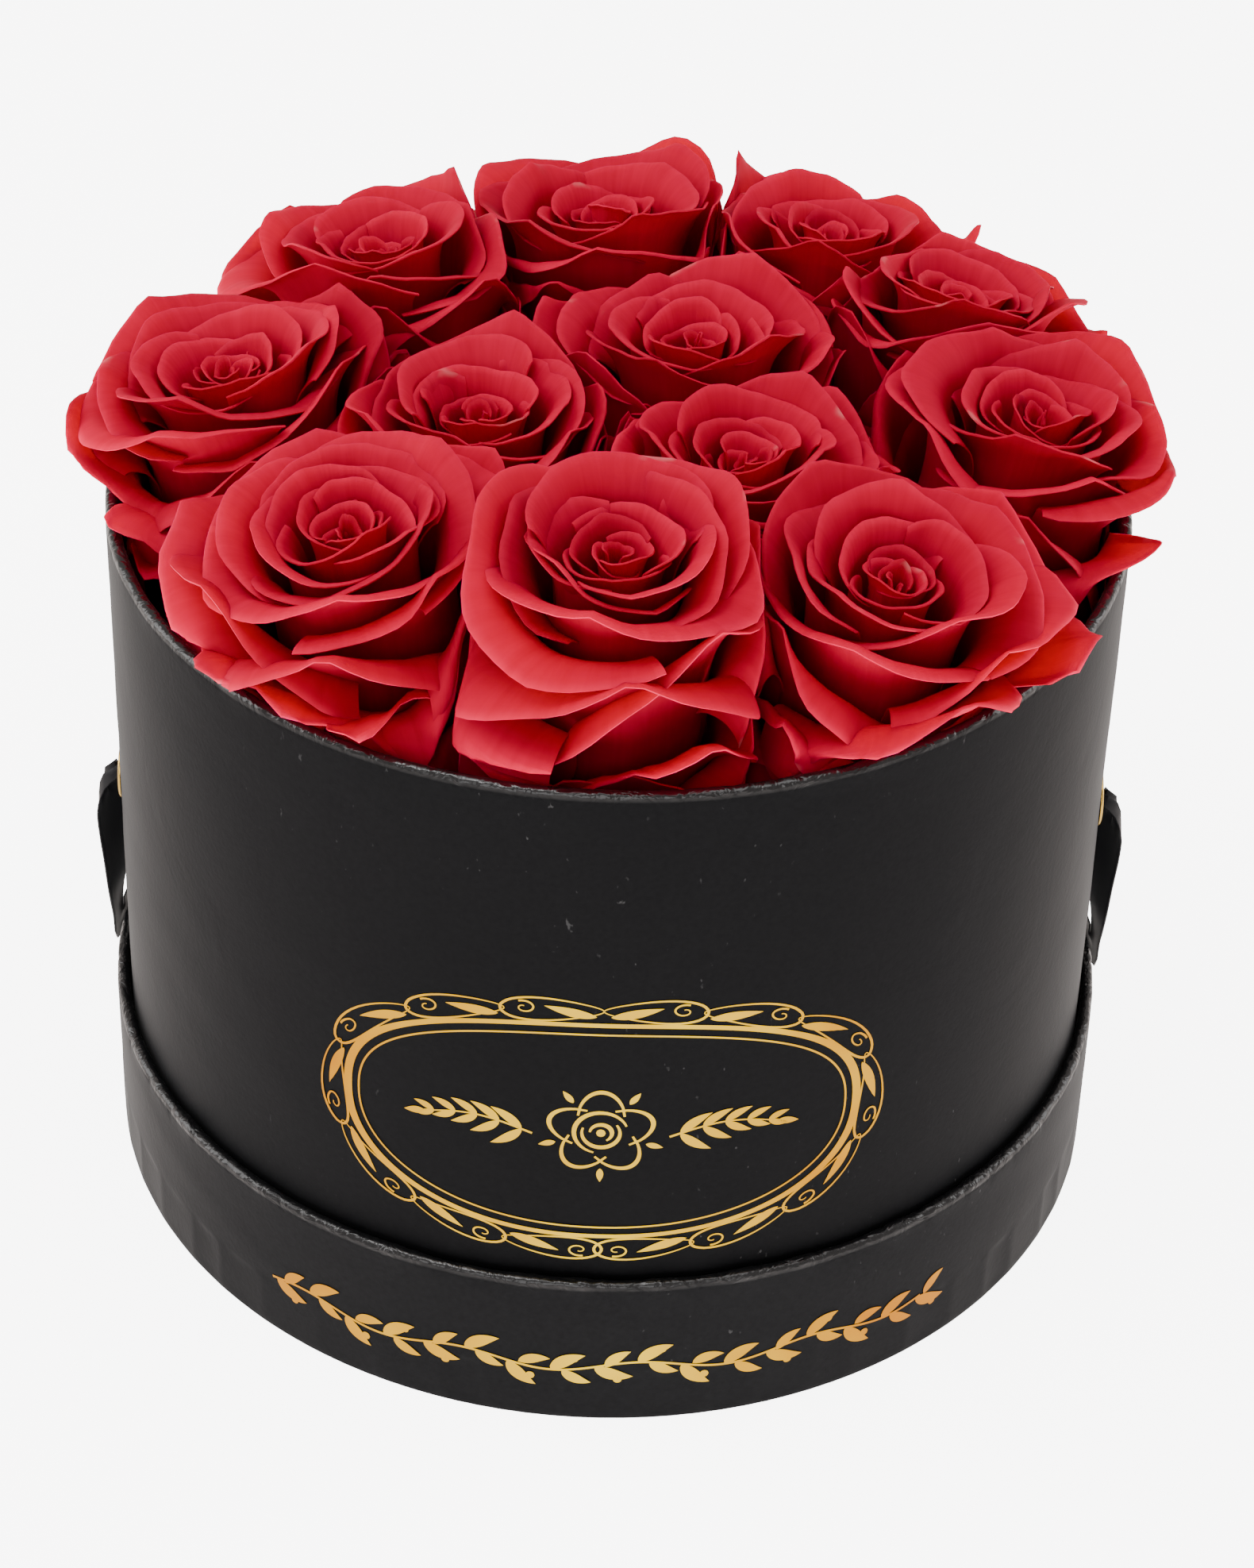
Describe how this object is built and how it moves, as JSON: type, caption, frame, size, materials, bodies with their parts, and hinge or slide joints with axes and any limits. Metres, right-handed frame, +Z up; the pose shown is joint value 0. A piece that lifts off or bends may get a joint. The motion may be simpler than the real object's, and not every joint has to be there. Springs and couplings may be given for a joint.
{
  "type": "flower box",
  "caption": "Round black hat-style flower box standing in its upturned lid, filled with cut red roses in foam, with gold foil ornament and a satin ribbon handle.",
  "frame": {"origin": "centre of the underside of the upturned lid, on the table", "axes": "+Z up along the axis of the box and the lid; the foil medallion faces -Y; the ribbon handle leaves the wall at +X and -X and hangs round the back at +Y"},
  "size_m": [0.2138, 0.2091, 0.1869],
  "materials": {
    "black_paper": "matte",
    "black_lining": "matte",
    "greyboard": "matte",
    "gold_foil": "satin",
    "brass_eyelet": "polished",
    "floral_foam": "matte",
    "rose_stem": "satin",
    "rose_petal": "matte",
    "satin_ribbon": "satin"
  },
  "bodies": {
    "lid": {"lid_disc_board": "greyboard", "lid_disc_paper": "black_paper", "lid_band_board": "greyboard", "lid_band_wrap": "black_paper", "lid_lining": "black_lining", "lid_foil_garland": "gold_foil"},
    "box": {"floor_board": "greyboard", "floor_paper": "black_paper", "floor_lining": "black_lining", "wall_board": "greyboard", "wall_wrap": "black_paper", "wall_lining": "black_lining", "foil_medallion": "gold_foil", "eyelet_left": "brass_eyelet", "eyelet_right": "brass_eyelet", "eyelet_washer_left": "brass_eyelet", "eyelet_washer_right": "brass_eyelet", "foam_block": "floral_foam", "stem_01": "rose_stem", "stem_02": "rose_stem", "stem_03": "rose_stem", "stem_04": "rose_stem", "stem_05": "rose_stem", "stem_06": "rose_stem", "stem_07": "rose_stem", "stem_08": "rose_stem", "stem_09": "rose_stem", "stem_10": "rose_stem", "stem_11": "rose_stem", "stem_12": "rose_stem", "bloom_01": "rose_petal", "bloom_02": "rose_petal", "bloom_03": "rose_petal", "bloom_04": "rose_petal", "bloom_05": "rose_petal", "bloom_06": "rose_petal", "bloom_07": "rose_petal", "bloom_08": "rose_petal", "bloom_09": "rose_petal", "bloom_10": "rose_petal", "bloom_11": "rose_petal", "bloom_12": "rose_petal"},
    "ribbon_arms": {"ribbon_arm_left": "satin_ribbon", "ribbon_arm_right": "satin_ribbon", "knot_left": "satin_ribbon", "knot_right": "satin_ribbon"},
    "ribbon_bow": {"ribbon_bow": "satin_ribbon"}
  },
  "joints": [
    {"name": "box_lift", "type": "slide", "parent": "lid", "child": "box", "axis": [0, 0, 1], "range_m": [0, 0.05]},
    {"name": "handle_swing", "type": "hinge", "parent": "box", "child": "ribbon_arms", "pos_m": [0, 0, 0.08], "axis": [1, 0, 0], "range_deg": [0, 115]},
    {"name": "handle_open", "type": "hinge", "parent": "ribbon_arms", "child": "ribbon_bow", "pos_m": [0, 0.01282, 0.02857], "axis": [1, 0, 0], "range_deg": [-57.5, 0]}
  ],
  "couplings": [
    {"joint": "handle_open", "follows": "handle_swing", "ratio": -0.5}
  ]
}
